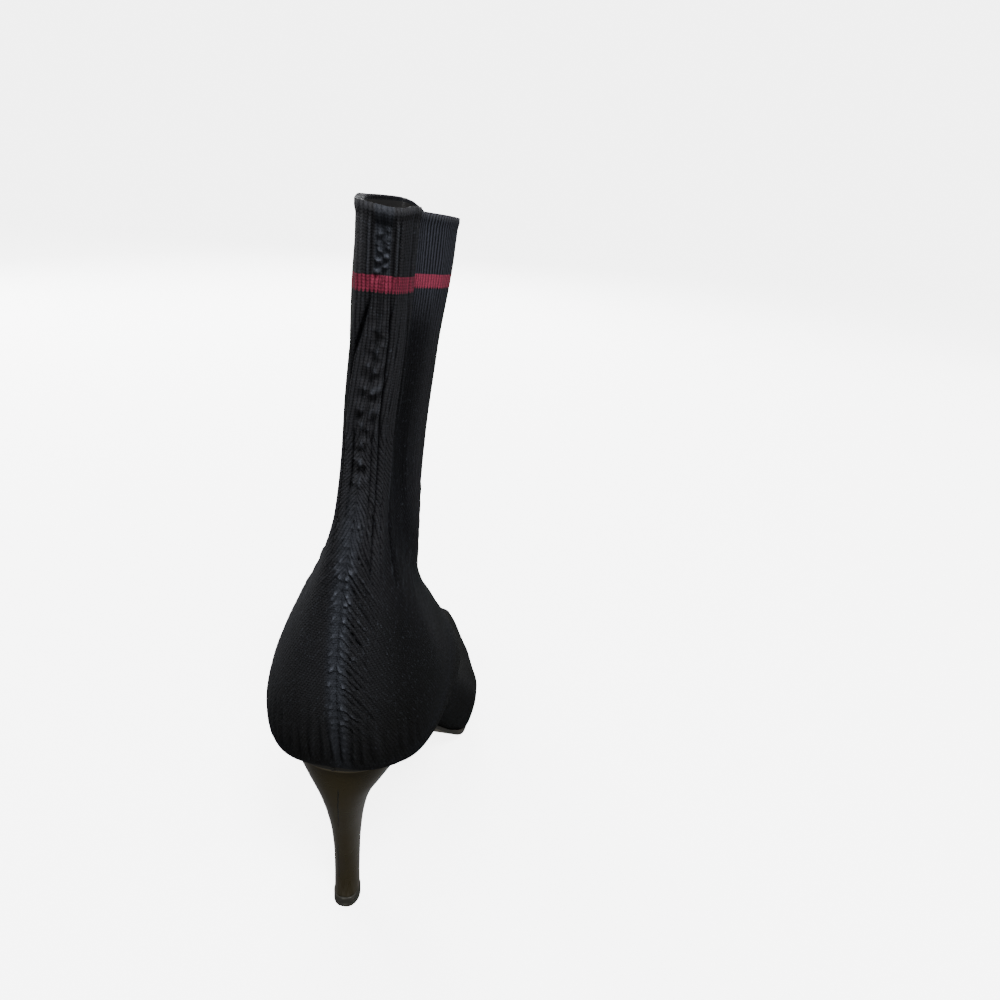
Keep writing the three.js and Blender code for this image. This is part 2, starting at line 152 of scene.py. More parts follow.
# Heel, top to bottom. Every row is one closed section, level only at the tip.
# drop: share of the way from the seat to the top piece. tilt: share of the seat's slope
# back: behind the tip's middle, share of SEAT_TO_TIP. front: ahead of it, share of HEEL_BREAST
# wide: width, share of SEAT_WIDTH. slim: width, share of HEEL_NECK
HEEL_ROWS = [
    [-0.06, 1.0, 0.97, 0.53, 0.96, 0.0],
    [0.0, 1.0, 0.965, 0.51, 0.9, 0.0],
    [0.06, 1.0, 0.95, 0.46, 0.79, 0.0],
    [0.14, 0.95, 0.915, 0.39, 0.63, 0.0],
    [0.24, 0.8, 0.84, 0.31, 0.38, 0.3],
    [0.37, 0.6, 0.7, 0.24, 0.17, 0.68],
    [0.52, 0.4, 0.54, 0.19, 0.05, 0.9],
    [0.7, 0.2, 0.4, 0.15, 0.0, 1.0],
    [0.86, 0.05, 0.32, 0.13, 0.0, 1.0],
    [1.0, 0.0, 0.3, 0.125, 0.0, 1.04],
]


SEAT_ROUND = 0.125
SEAT_SQUARE = 2.4
TOE_ROUND = 0.93
THIN_UNTIL = 0.44
FULL_FROM = 0.58
HEEL_WIDEST = 0.52
HEEL_BACK_SQUARE = 2.1
HEEL_FRONT_SQUARE = 2.6


def mix(a, b, share):
    return a + (b - a) * share


def smooth(value, low, high):
    """0 below low, 1 above high, smooth between them."""
    t = np.clip((np.asarray(value, float) - low) / (high - low), 0, 1)
    return t * t * (3 - 2 * t)


def bell(value, middle, width):
    return np.exp(-(((np.asarray(value, float) - middle) / width) ** 2))


def table_at(rows, value):
    """Smooth interpolation at a value of a table's first column."""
    rows = np.asarray(rows, float)
    low = 0
    while low < len(rows) - 2 and rows[low + 1][0] < value:
        low += 1
    spans = np.diff(rows[:, 0])
    share = min(max((value - rows[low][0]) / spans[low], 0), 1)

    def slope_at(row):
        if row in (0, len(rows) - 1):
            return np.zeros(rows.shape[1])
        before = (rows[row] - rows[row - 1]) / spans[row - 1]
        after = (rows[row + 1] - rows[row]) / spans[row]
        total = np.where(before * after > 0, before + after, 1)
        return np.where(before * after > 0, 2 * before * after / total, 0)

    level = mix(rows[low], rows[low + 1], share * share * (3 - 2 * share))
    leave = share * (1 - share) ** 2 * spans[low]
    arrive = share * share * (share - 1) * spans[low]
    return level + slope_at(low) * leave + slope_at(low + 1) * arrive


def table_row(rows, position):
    return table_at(np.column_stack([np.arange(len(rows)), rows]), position)[1:]


def bed_point(along):
    rise = table_at(BED_ROWS, along)[1]
    return np.array([0, along * FOOT_LENGTH - SEAT_TO_TIP, BED_HEIGHT + rise * HEEL_RISE])


def bed_normal(along):
    probe = 0.004
    run = bed_point(along + probe) - bed_point(along - probe)
    run /= np.linalg.norm(run)
    return np.array([0, -run[2], run[1]])


def bed_plan(along):
    _, seat, waist, ball, toe, skew = table_at(PLAN_ROWS, along)
    width = seat * SEAT_WIDTH + waist * WAIST_WIDTH + ball * BALL_WIDTH + toe * TOE_WIDTH
    rounding = 1.0
    if along < SEAT_ROUND:
        left = min(1 - along / SEAT_ROUND, 1)
        rounding = (1 - left**SEAT_SQUARE) ** (1 / SEAT_SQUARE)
    elif along > TOE_ROUND:
        past = min((along - TOE_ROUND) / (1 - TOE_ROUND), 1)
        rounding = math.sqrt(max(1 - past**2, 0))
    return skew * BALL_WIDTH, width / 2 * rounding


def shaft_section(row):
    climb, back, depth, dip, lean_back, lean_front, slack, full = row[:8]
    widest, lower, upper, inner_fold, outer_fold, fold = row[8:]
    half = (slack * SHAFT_WIDTH + full * COUNTER_WIDTH) / 2
    back_y = -back * SHAFT_DEPTH
    back_z = BED_HEIGHT + HEEL_RISE + climb * SHAFT_HEIGHT
    return [back_y, back_z, back_y + depth * SHAFT_DEPTH, back_z - dip * SHAFT_DEPTH,
            lean_back * SHAFT_LEAN, lean_front * SHAFT_LEAN, SEAM_WIDTH / 2, SEAM_WIDTH / 2,
            half, half, widest, lower, upper, fold, outer_fold * SHAFT_WIDTH,
            inner_fold * SHAFT_WIDTH]


def foot_section(row):
    along, reach, tall, low, bulge_out, bulge_in, widest, lower, upper, shift = row
    bottom = bed_point(along)
    middle, half = bed_plan(along)
    top_y = bottom[1] + reach * INSTEP_HEIGHT
    under = bed_point((top_y + SEAT_TO_TIP) / FOOT_LENGTH)
    return [bottom[1], bottom[2], top_y, under[2] + tall * INSTEP_HEIGHT + low * TOE_HEIGHT,
            middle, shift * BALL_WIDTH, half, half,
            half + bulge_out * COUNTER_WIDTH / 2, half + bulge_in * COUNTER_WIDTH / 2,
            widest, lower, upper, widest, 0, 0]


UPPER_ROWS = [shaft_section(r) for r in SHAFT_ROWS] + [foot_section(r) for r in FOOT_ROWS]
QUARTER = 40  # points that trace a quarter of a section


def lengths_along(points):
    """Distance of each point from the first, along the line."""
    return np.concatenate([[0], np.cumsum(np.linalg.norm(np.diff(points, axis=0), axis=1))])


def resampled(at, known, points):
    """Points at some places along a line of points whose places are known."""
    return np.column_stack([np.interp(at, known, points[:, k]) for k in range(3)])


def outline(row, inset):
    """Closed outline of a section: from its back by the inner side to the front and back again."""
    back_y, back_z, front_y, front_z, middle_back, middle_front = row[:6]
    flat_out, flat_in, half_out, half_in = row[6:10]
    widest, lower, upper, fold, fold_out, fold_in = row[10:16]
    span = math.hypot(front_y - back_y, front_z - back_z)
    angle = np.linspace(0, math.pi / 2, QUARTER + 1)

    def side(flat, half, depth, sign):
        flat_half = max(flat - inset, SEAM_EDGE)
        full = max(half - inset, flat_half + 2 * SEAM_EDGE)
        start = flat_half + SEAM_EDGE
        low_x = mix(start, full, np.sin(angle) ** (2 / lower))
        low_s = widest * (1 - np.cos(angle) ** (2 / lower))
        high_x = full * np.abs(np.cos(angle)) ** (2 / upper)
        high_s = widest + (1 - widest) * np.sin(angle) ** (2 / upper)
        x = np.concatenate([np.linspace(0, start, 9)[:-1], low_x, high_x[1:]])
        share = np.concatenate([np.zeros(8), low_s, high_s[1:]])
        x = x - depth * np.exp(-(((share - fold) / FOLD_SPREAD) ** 2))
        x[0] = x[-1] = 0
        return np.column_stack([sign * x, share])

    inner = side(flat_in, half_in, fold_in, 1)
    outer = side(flat_out, half_out, fold_out, -1)[::-1]
    flat = np.vstack([inner, outer[1:]])
    reach = (inset + flat[:, 1] * (span - 2 * inset)) / span
    points = np.column_stack([
        flat[:, 0] + mix(middle_back, middle_front, flat[:, 1]),
        mix(back_y, front_y, reach),
        mix(back_z, front_z, reach),
    ])
    return points, len(inner) - 1


# Back seam: distance below the collar, and how far it runs to the inner side of the back
SEAM_LINE = [(0, 2.4), (40, 3.0), (67, 1), (92, 0.9), (127, 0.6), (162, 2.4), (188, 4.4), (203, 4.8)]
HEEL_END = 10.0  # the last ring of the shaft, at the back edge of the seat
PANEL = 13.0  # reach of the finely modelled strip to either side of the seam
PANEL_COLUMNS = 15
SIDE_COLUMNS = 99


def seam_shift(position, down):
    return np.interp(down, *zip(*SEAM_LINE)) * (1 - smooth(position, HEEL_END, HEEL_END + 3))


RIB_JOIN = 95.0  # above this the ribs beside the seam run along it
RIB_REACH = 73.0  # seam to front line there


def ring(position, inset, down, across=None):
    """Points of one ring from the seam: inner side to the front line, then the outer side.

    across gives points near the seam alone, from the outer to the inner side, instead.
    Returns points, distance from the seam and distance from the front line for each column.
    """
    points, front = outline(table_row(UPPER_ROWS, position), inset)
    length = lengths_along(points)
    total, inner_length = length[-1], length[front]
    shift = seam_shift(position, down)
    reaches = (inner_length - shift, total - inner_length + shift)
    near = [min(PANEL, 0.3 * reach) for reach in reaches]
    if across is not None:
        away = np.where(across > 0, across * near[0], across * near[1])
        at = (shift + away) % total
        rib = np.where(away > 0, reaches[0] - away, reaches[1] + away)
    else:
        inner, outer = [
            np.concatenate([
                np.linspace(0, close, PANEL_COLUMNS + 1)[:-1],
                np.linspace(close, reach, SIDE_COLUMNS + 1),
            ]) for close, reach in zip(near, reaches)
        ]
        at = np.concatenate([shift + inner, (shift - outer[-2:0:-1]) % total])
        away = np.concatenate([inner, -outer[-2:0:-1]])
        rib = np.concatenate([inner[-1] - inner, outer[-1] - outer[-2:0:-1]])
    reach = np.where(away >= 0, reaches[0], reaches[1]) - RIB_REACH
    beside = (1 - smooth(np.abs(away), 12, 36)) * (1 - smooth(down, RIB_JOIN - 25, RIB_JOIN + 10))
    rib = rib - reach * beside * (position < HEEL_END)
    return resampled(at, length, points), away, rib


# How far the surface stands out from the plain form, in millimetres

DRAW = np.random.default_rng(20)


def waves(a, b, wavelength_a, wavelength_b, seed, count=9):
    """Seeded soft unevenness over two coordinates, about -1 to 1."""
    draw = np.random.default_rng(seed)
    total = np.zeros(np.broadcast(a, b).shape)
    for _ in range(count):
        turn = draw.uniform(-1, 1)
        size = draw.uniform(0.7, 1.5)
        phase = draw.uniform(0, 2 * math.pi)
        total += np.sin(2 * math.pi * (a * size / wavelength_a + b * turn / wavelength_b) + phase)
    return total / math.sqrt(count * 2)


# Creases: width, then points by distance below the collar, distance from the seam towards the
# inner side, and depth
CREASES = [
    (1.3, [(24, -2.6, 0), (32, -4.4, 1.2), (46, -7.6, 1.9), (62, -8.2, 2.0), (78, -6.8, 1.8),
           (92, -6.6, 1.4), (106, -6.8, 0.9), (118, -6.4, 0)]),
    (1.2, [(24, 3.4, 0), (34, 4.2, 1.8), (52, 5.0, 2.3), (72, 6.6, 2.3), (88, 8.0, 2.0),
           (100, 8.6, 1.6), (112, 9.4, 1.2), (124, 10.5, 0)]),
    (0.9, [(60, -2.6, 0), (72, -3.0, 0.9), (86, -2.6, 1.0), (98, -3.0, 0.6), (108, -3.4, 0)]),
    (0.8, [(58, 2.4, 0), (70, 3.0, 0.8), (84, 4.2, 0.9), (96, 5.0, 0.7), (106, 5.4, 0)]),
    (1.0, [(84, 12.2, 0), (94, 12.6, 1.0), (106, 13.6, 1.2), (120, 15.0, 0.9), (132, 16.6, 0)]),
    (1.2, [(30, 9.5, 0), (44, 9.2, 0.7), (62, 10.4, 0.8), (80, 12.0, 0.5), (92, 13.4, 0)]),
    (1.6, [(26, 16.0, 0), (36, 18.0, 2.2), (60, 19.5, 2.6), (90, 21.0, 2.4), (116, 24.0, 1.5),
           (134, 28.0, 0)]),
    (1.4, [(40, -14.0, 0), (60, -16.0, 0.9), (84, -15.0, 1.0), (104, -13.0, 0.6), (120, -12, 0)]),
]
STRIPE_TOP = 20.8
STRIPE_BOTTOM = 25.4
CHEVRONS_FROM = 88.0
BUMP_PITCH = 3.1
BUMP_AT = np.cumsum(DRAW.uniform(0.72, 1.3, 120) * BUMP_PITCH)
BUMP_SIZE = DRAW.uniform(0.5, 1.25, 121)


def crease_depth(down, away):
    out = np.zeros(np.broadcast(down, away).shape)
    for width, points in CREASES:
        below, off, depth = zip(*points)
        gap = away - np.interp(down, below, off)
        deep = np.interp(down, below, depth, left=0, right=0)
        trough = 0.85 * bell(gap, 0, 0.42 * width) + 0.15 * bell(gap, 0, 1.5 * width)
        ridges = bell(gap, 1.9 * width, width) + bell(gap, -1.9 * width, width)
        out += 1.5 * deep * (0.14 * ridges - trough)
    return out


PLEATS, PLEAT_PITCH, PLEAT_LONG = 9, 9.0, 24.0


def pleat_depth(down, away):
    """Long thin pleats that fan from the seam down the inner side of the ankle and the heel."""
    draw = np.random.default_rng(8)
    out = np.zeros(np.broadcast(down, away).shape)
    for k in range(PLEATS):
        start = 92 + PLEAT_PITCH * (k + draw.uniform(-0.3, 0.3))
        slope = mix(0.5, 1.0, k / PLEATS) * draw.uniform(0.85, 1.15)
        size = PLEAT_LONG * draw.uniform(0.7, 1.2)
        run = np.clip((down - start) / size, 0, 1)
        gap = away - 2.6 - slope * (down - start) * (1 - 0.25 * run)
        deep = draw.uniform(0.5, 1.0) * np.sin(math.pi * run) ** 0.7
        out += deep * (0.3 * bell(gap, 1.3, 0.8) - bell(gap, 0, 0.5))
    return out


def above_stripe(down):
    return 1 - smooth(down, 19, 25)


def seam_relief(down, away, side):
    """Pebbled channel near the collar, and the wheat-ear of paired bumps and puckers lower down."""
    off = np.abs(away)
    top = above_stripe(down)
    middle = smooth(down, 26, 34) * (1 - smooth(down, CHEVRONS_FROM, CHEVRONS_FROM + 14))
    low = smooth(down, CHEVRONS_FROM - 6, CHEVRONS_FROM + 16)
    relief = top * smooth(down, 2.5, 6) * (
        -1.15 * (1 - smooth(off, 3.0, 3.6)) + 0.75 * bell(off, 4.2, 0.7) - 0.5 * bell(off, 5.6, 0.5)
        + 0.4 * bell(off, 6.8, 0.6))

    def knots(slant, offset):
        index = np.interp(down - slant * off + offset, BUMP_AT, np.arange(len(BUMP_AT)))
        size = BUMP_SIZE[np.clip(index.astype(int) + 1, 0, len(BUMP_SIZE) - 1)]
        return index, size

    index, size = knots(0.1, 0)
    index = 1.5 * index
    swing = 1.5 * np.sin(math.pi * (index + 0.5))
    relief += (0.9 * top * smooth(down, 5, 8) + 0.45 * middle) * size * bell(away, swing, 0.8) * (
        0.5 + 0.5 * np.cos(2 * math.pi * index))
    pebbles = smooth(waves(down, away, 3.4, 3.0, 11) + 0.5 * waves(down, away, 1.9, 2.2, 12), 0.1, 1.1)
    relief += 1.1 * top * smooth(down, 5, 9) * (1 - smooth(off, 2.4, 3.1)) * pebbles
    pair, pair_size = knots(0.75, 0)
    lobe = np.abs(np.sin(math.pi * pair)) ** 0.8
    centre = 1.8 + 0.5 * np.sin(1.7 * pair) + 0.3 * waves(down, side, 6, 9, 13)
    grow = smooth(down, CHEVRONS_FROM, CHEVRONS_FROM + 40)
    rough = np.clip(0.8 + 0.6 * waves(down, away, 4.2, 3.4, 5), 0.15, 1.6)
    fan = 1 - 0.8 * smooth(down, 172, 188)
    relief += low * fan * rough * pair_size * (0.05 + 0.95 * lobe) * mix(0.75, 1.2, grow) * bell(
        off, centre, 1.05)
    relief -= low * 0.3 * bell(off, 0, 0.5)
    relief += low * fan * 0.4 * bell(off, 0, 0.8) * np.sin(2 * math.pi * pair + 1.2) * rough

    slant = mix(1.5, 1.0, smooth(down, 110, 180))
    pucker, pucker_size = knots(slant, 1.3)
    fold = np.abs(np.sin(math.pi * pucker)) ** 0.8 - 0.7 + 0.3 * np.sin(math.pi * pucker / 2.3)
    inner = np.where(side > 0, 1.0, mix(1.0, 0.4, smooth(down, 122, 150)))
    reach = np.where(side > 0, 12.0, 6.5) * np.clip(1 + 0.4 * np.sin(2.4 * np.floor(pucker)), 0.6, 1.4)
    fade = smooth(off, 1.6, 3.4) * (1 - smooth(off, 0.4 * reach, reach + 1.5))
    relief += low * fan * rough * inner * fade * pucker_size * 1.6 * fold
    return relief


def relief_of(down, away, rib, position, side):
    """Everything that the knit's outer surface does beyond the plain form."""
    on_shaft = 1 - smooth(position, 9.4, 10.4)
    off = np.abs(away)
    out = HEM_STEP * (1 - smooth(down, HEM_HEIGHT - 1.6, HEM_HEIGHT + 1.4)) * on_shaft
    out += (crease_depth(down, away) + 0.8 * pleat_depth(down, away)) * on_shaft
    out += seam_relief(down, away, side) * on_shaft
    slack = smooth(down, 4, 24) * (1 - smooth(down, 118, 150))
    lumps = smooth(down, 27, 40) * (1 - smooth(down, 84, 100)) * bell(away, 0.5, 3.6)
    out += 0.75 * lumps * waves(down, away, 9, 5, 4)
    out += 0.4 * lumps * waves(away, down, 2.6, 30, 7)
    out += 0.35 * slack * waves(away, down, 11, 60, 1) * smooth(off, 6, 14)
    # soft folds where the shaft narrows into the instep
    ankle = bell(down, 128, 26) * smooth(off, 16, 30)
    out += 0.45 * ankle * waves(down + 0.5 * off, off, 9, 60, 2)
    # gathers fan down to the seat
    gather = smooth(down, 166, 190) * on_shaft * (1 - smooth(off, 24, 42))
    out += 0.85 * gather * (np.abs(np.sin(math.pi * (away * (1.25 - down / 500) + 1.2 * waves(
        away, down, 17, 40, 6)) / 3.4)) - 0.6) * 1.6
    foot = smooth(position, 10.2, 12)
    out += 0.16 * foot * waves(position * 7, rib, 16, 40, 3)
    return out


# How far the rim stands up along the outer side: (place along the boot, rise)
RIM_RISE = [(-6, 0), (5, 1.9), (13, 2.3), (21, 2.9), (30, 3.4), (38, 3.7), (46, 4.0), (54, 4.3),
            (62, 4.0), (66, 3.3), (71, 2.2), (75, 0.6), (80, 0)]
FLARE = 2.3  # the front corner of the collar leans to the inner side


def sagged(points, down, away):
    """The rim sags at the seam, stands up along the outer side and flares at the front."""
    down, away = np.asarray(down, float), np.asarray(away, float)
    y = points[..., 1].copy()
    drop = 1.7 * bell(away, 3, 9) * (1 - smooth(down, 3, 22))
    rise = np.interp(y, *zip(*RIM_RISE)) * smooth(-away, 6, 20) * (1 - smooth(down, 3, 58))
    points[..., 2] += rise - drop
    points[..., 0] += FLARE * smooth(y, 40, 78) * (1 - smooth(down, 5, 52))
    return points


ROWS = len(UPPER_ROWS) - 1


def positions(step_by_row):
    """Ring positions with a chosen number of rings between the rows of the tables."""
    out = []
    for row in range(ROWS):
        out.extend(row + np.arange(step_by_row[row]) / step_by_row[row])
    return np.array(out + [float(ROWS)])


def lofted(at, inset):
    """Grid of points with its coordinates: points, down, away, rib, side, position."""
    backs = np.array([table_row(UPPER_ROWS, p)[:2] for p in at])
    down = lengths_along(backs)
    grid, away, rib = zip(*[ring(p, inset, d) for p, d in zip(at, down)])
    away = np.array(away)
    shape = away.shape
    return {
        "points": np.array(grid), "down": np.broadcast_to(down[:, None], shape), "away": away,
        "rib": np.array(rib), "position": np.broadcast_to(at[:, None], shape),
        "side": np.where(away >= 0, 1, -1),
    }


def grid_normals(points):
    """Outward normals of a closed grid: rings one after another, columns by the inner side."""
    along = np.gradient(points, axis=0)
    around = (np.roll(points, -1, axis=1) - np.roll(points, 1, axis=1)) / 2
    normals = np.cross(along, around)
    size = np.linalg.norm(normals, axis=2, keepdims=True)
    normals = np.where(size > 1e-9, normals / np.maximum(size, 1e-9), 0)
    centre = points.mean(axis=1, keepdims=True)
    if np.sum(normals * (points - centre)) < 0:
        normals = -normals
    return normals


def mesh_of(name, points, faces, attributes=()):
    mesh = bpy.data.meshes.new(name)
    mesh.from_pydata([tuple(p) for p in np.reshape(points, (-1, 3)) * MM], [], faces)
    for key, values in dict(attributes).items():
        values = np.ravel(np.asarray(values, float))
        mesh.attributes.new(key, "FLOAT", "POINT").data.foreach_set("value", values)
    mesh.polygons.foreach_set("use_smooth", [True] * len(mesh.polygons))
    mesh.update()
    thing = bpy.data.objects.new(name, mesh)
    bpy.context.collection.objects.link(thing)
    return thing


def grid_faces(rows, columns, keep=lambda i, j: True, closed=True):
    """Quads of a grid whose rows run down and columns by the inner side."""
    faces = []
    for i in range(rows - 1):
        for j in range(columns if closed else columns - 1):
            if keep(i, j):
                k = (j + 1) % columns
                faces.append((i * columns + j, (i + 1) * columns + j,
                              (i + 1) * columns + k, i * columns + k))
    return faces


def capped_faces(rows, columns):
    """Quads of a closed grid, with a face over its first and last rows."""
    last = (rows - 1) * columns
    return grid_faces(rows, columns) + [tuple(range(columns)),
                                        tuple(range(last, last + columns))[::-1]]


def faced_out(thing):
    """Turns the faces of a closed or near closed piece outwards."""
    work = bmesh.new()
    work.from_mesh(thing.data)
    bmesh.ops.remove_doubles(work, verts=work.verts, dist=1e-6)
    bmesh.ops.recalc_face_normals(work, faces=work.faces)
    work.to_mesh(thing.data)
    work.free()
    return thing


# Upper: rim, outside, and the strip beside the back seam in finer steps
SHAFT_RINGS = [14, 17, 18, 15, 14, 13, 12, 12, 11, 9, 2]
FOOT_RINGS = 8
rings = SHAFT_RINGS + [FOOT_RINGS] * (ROWS - len(SHAFT_RINGS))
base_at = positions(rings)
base = lofted(base_at, 0)
base_relief = relief_of(*[base[k] for k in ("down", "away", "rib", "position", "side")])
base_points = base["points"] + grid_normals(base["points"]) * base_relief[..., None]
base_points = sagged(base_points, base["down"], base["away"])
COLUMNS = base_points.shape[1]
INNER_EDGE = PANEL_COLUMNS
OUTER_EDGE = COLUMNS - PANEL_COLUMNS
panel_rows = int(np.searchsorted(base_at, HEEL_END)) + 1

# the rim: a turned hem that rolls over to the inside
RIM_RADIUS = (WALL + HEM_STEP) / 2
RIM_STEPS = 7
TURNED, TURNED_STEPS = 7.0, 4  # how far the hem reaches down inside
rim_rows = []
for step in range(RIM_STEPS + TURNED_STEPS):
    if step < TURNED_STEPS:
        height, inset = TURNED * (1 - step / TURNED_STEPS) + RIM_RADIUS, WALL
    else:
        turn = math.pi * (RIM_STEPS + TURNED_STEPS - step) / (RIM_STEPS + 1)
        inset = RIM_RADIUS - HEM_STEP - RIM_RADIUS * math.cos(turn)
        height = RIM_RADIUS * (1 - math.sin(turn))
    collar_share = height / base["down"][rings[0], 0]
    points, away, rib = ring(collar_share, inset, height)
    rim_rows.append((sagged(points, height, away), away, rib, height))
start = next(i for i in range(len(base_at)) if base["down"][i, 0] > RIM_RADIUS)


def joined(rim_values, values):
    """Values of the rim's rings, then of the rings below the rim."""
    rim_values = [np.broadcast_to(value, values.shape[1:]) for value in rim_values]
    return np.vstack([rim_values, values[start:]])


def shown_relief(relief, down, away):
    """Relief as the painted shade and highlights of the colour read it: the floor of the channel
    counts as level.
    """
    channel = above_stripe(down) * smooth(down, 4, 8) * (1 - smooth(np.abs(away), 2.8, 3.3))
    return relief + 1.25 * channel


panel_first = len(rim_rows)
panel_last = panel_first + panel_rows - 1 - start


def outside_panel(i, j):
    in_rows = panel_first <= i < panel_last
    return not (in_rows and (j < INNER_EDGE or j >= OUTER_EDGE))


KNIT_FACTS = ("down", "away", "rib", "station", "inside", "relief")


def knit_attributes(*values):
    return dict(zip(KNIT_FACTS, values))


rim_points, rim_away, rim_rib, rim_down = zip(*rim_rows)
rim_flat = [0] * len(rim_rows)
knit_points = joined(rim_points, base_points)
knit_inside = joined([step < TURNED_STEPS for step in range(len(rim_rows))], 0 * base["down"])
knit_relief = joined(rim_flat, shown_relief(base_relief, base["down"], base["away"]))
knit = mesh_of("upper_knit", knit_points, grid_faces(len(knit_points), COLUMNS, outside_panel),
               knit_attributes(joined(rim_down, base["down"]), joined(rim_away, base["away"]),
                               joined(rim_rib, base["rib"]), joined(rim_flat, base["position"]),
                               knit_inside, knit_relief))

# the strip: three rings for every ring of the rest, and finer columns
FINE_ROWS, FINE_COLUMNS = 3, 58
coarse_at = base_at[start:panel_rows]
fine_at = np.interp(np.arange((len(coarse_at) - 1) * FINE_ROWS + 1) / FINE_ROWS,
                    np.arange(len(coarse_at)), coarse_at)
fine_down = np.interp(fine_at, base_at, base["down"][:, 0])
across = np.linspace(-1, 1, FINE_COLUMNS + 1)
fine_rings = [ring(place, 0, below, across) for place, below in zip(fine_at, fine_down)]
fine_points, fine_away, fine_rib = [np.array(part) for part in zip(*fine_rings)]
fine_place = np.broadcast_to(fine_at[:, None], fine_away.shape)
fine_below = np.broadcast_to(fine_down[:, None], fine_away.shape)
fine_relief = relief_of(fine_below, fine_away, fine_rib, fine_place, np.where(fine_away >= 0, 1, -1))
run_down = np.gradient(fine_points, axis=0)
run_across = np.gradient(fine_points, axis=1)
fine_normals = np.cross(run_across, run_down)
fine_normals /= np.maximum(np.linalg.norm(fine_normals, axis=2, keepdims=True), 1e-9)
if np.sum(fine_normals[..., 1]) > 0:
    fine_normals = -fine_normals
fine_points = fine_points + fine_normals * fine_relief[..., None]
fine_points = sagged(fine_points, fine_below, fine_away)
# its edges lie on the edges of the rest
line = np.arange(len(fine_at)) / FINE_ROWS
for column, edge in ((0, OUTER_EDGE), (-1, INNER_EDGE)):
    fine_points[:, column] = resampled(line, np.arange(len(coarse_at)),
                                       base_points[start:panel_rows, edge])
last = list(range(OUTER_EDGE, COLUMNS)) + list(range(0, INNER_EDGE + 1))
spot = np.linspace(0, len(last) - 1, FINE_COLUMNS + 1)
for row, ring_at in ((0, start), (-1, panel_rows - 1)):
    fine_points[row] = resampled(spot, np.arange(len(last)), base_points[ring_at, last])
panel = mesh_of("back_panel", fine_points,
                grid_faces(len(fine_at), FINE_COLUMNS + 1, closed=False),
                knit_attributes(fine_below, fine_away, fine_rib, fine_place, 0 * fine_away,
                                shown_relief(fine_relief, fine_below, fine_away)))

# Lining, a little inside the wall
LINING_GAP = 0.1
lining_at = positions([4] * 10 + [3] * (ROWS - 10))
lining_at = lining_at[lining_at < ROWS - 1]
lining_at[0] = 0.2
lining_rings = []
for place in lining_at:
    below = float(np.interp(place, base_at, base["down"][:, 0]))
    points, away, _ = ring(place, WALL + LINING_GAP, below)
    lining_rings.append(sagged(points, below, away))
lining = mesh_of("upper_lining", lining_rings, grid_faces(len(lining_at), COLUMNS))

# Outsole
OUTSOLE_STEPS, OUTSOLE_ACROSS = 150, 11
EDGE_ROUND = 0.5
QUARTER_TURN = np.linspace(0, math.pi / 2, 4)


def corner(side, x, z, radius, turns):
    """Rounded corner about a centre, on the one side or mirrored to the other."""
    return [(side * (x + radius * math.cos(a)), z + radius * math.sin(a)) for a in turns]


def outsole_bottom(along):
    share = float(smooth(along, THIN_UNTIL, FULL_FROM))
    return -CLEARANCE - mix(SEAT_THICKNESS, OUTSOLE_THICKNESS, share)


def outsole_section(along):
    """Flat cross-section under the bed, with rounded edges."""
    middle, half = bed_plan(along)
    width = max(half + SOLE_EDGE, 0.5)
    foot, up = bed_point(along), bed_normal(along)
    low, high = outsole_bottom(along), -CLEARANCE
    r = min(EDGE_ROUND, 0.5 * (high - low), 0.8 * width)
    reach = width - r
    flat = np.linspace(-reach, reach, OUTSOLE_ACROSS)
    cells = [(x, low) for x in flat]
    cells += corner(1, reach, low + r, r, -QUARTER_TURN[-2::-1])
    cells += corner(1, reach, high - r, r, QUARTER_TURN[:-1])
    cells += [(x, high) for x in flat[::-1]]
    cells += corner(-1, reach, high - r, r, QUARTER_TURN[-2::-1])
    cells += corner(-1, reach, low + r, r, -QUARTER_TURN[:-1])
    return [foot + up * h + np.array([middle + x, 0, 0]) for x, h in cells]


overhang = SOLE_EDGE / FOOT_LENGTH
stations = [mix(-overhang, 1 + overhang, (1 - math.cos(math.pi * i / OUTSOLE_STEPS)) / 2)
            for i in range(OUTSOLE_STEPS + 1)]
sections = [outsole_section(along) for along in stations]
outsole = faced_out(mesh_of("outsole_leather", sections,
                            capped_faces(len(sections), len(sections[0]))))

# Heel: the part's sections in finer steps, trimmed under the sole
UNDER_SEAT = BED_HEIGHT + HEEL_RISE - SEAT_THICKNESS - 2 * CLEARANCE
TIP_TOP = TOP_PIECE_HEIGHT + CLEARANCE


def heel_section(row, grow=0.0):
    drop, tilt, back, front, wide, slim = row
    z = mix(UNDER_SEAT, TIP_TOP, drop)
    back_y = -back * SEAT_TO_TIP - grow
    front_y = front * HEEL_BREAST + grow
    slope = (bed_point(0)[2] - bed_point(HEEL_BREAST / FOOT_LENGTH)[2]) / HEEL_BREAST
    half = (wide * SEAT_WIDTH + slim * HEEL_NECK) / 2 + grow
    middle = tilt * bed_plan(SEAT_ROUND)[0]
    return [back_y, z, front_y, z - tilt * slope * (front_y - back_y), middle, middle, 0, 0,
            half, half, HEEL_WIDEST, HEEL_BACK_SQUARE, HEEL_FRONT_SQUARE, 0, 0, 0]


def even_ring(row, count, inset=0.0):
    points, _ = outline(row, inset)
    length = lengths_along(points)
    at = np.linspace(0, length[-1], count + 1)[:-1]
    return resampled(at, length, points)


UNDER = np.array([bed_point(a) + bed_normal(a) * (outsole_bottom(a) - CLEARANCE)
                  for a in np.linspace(0.0, 0.5, 60)])


def sole_above(y):
    return np.interp(y, UNDER[:, 1], UNDER[:, 2])


